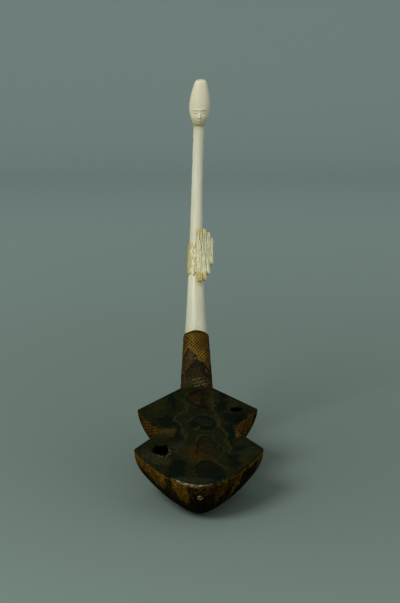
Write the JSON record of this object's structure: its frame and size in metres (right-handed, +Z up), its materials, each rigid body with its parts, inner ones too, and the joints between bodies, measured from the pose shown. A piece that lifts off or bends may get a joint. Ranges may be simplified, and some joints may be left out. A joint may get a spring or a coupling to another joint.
{
  "type": "arched harp",
  "caption": "Arched harp: waisted wooden soundbox covered in snake hide, tubular hide-covered socket, curved ivory neck with a carved head and a raw hide wrapping",
  "frame": {"origin": "middle of the wooden foot under the keel of the soundbox, on the surface that the harp stands on", "axes": "+X to the right of a viewer at the tail, +Y from the tail of the soundbox towards the neck, +Z up"},
  "size_m": [0.1774, 0.4988, 0.5529],
  "materials": {
    "wood": "matte",
    "table_hide": "satin",
    "flank_hide": "satin",
    "sleeve_hide": "satin",
    "pin_wood": "matte",
    "ivory": "satin",
    "raw_hide": "satin"
  },
  "bodies": {
    "root": {"soundbox": "wood", "string_holder": "wood", "front_skin": "table_hide", "back_skin": "flank_hide", "socket_sleeve": "sleeve_hide", "tail_pin": "pin_wood", "neck": "ivory", "hide_band": "raw_hide", "hide_strip_1": "raw_hide", "hide_strip_2": "raw_hide", "hide_strip_3": "raw_hide", "hide_strip_4": "raw_hide"}
  },
  "joints": []
}
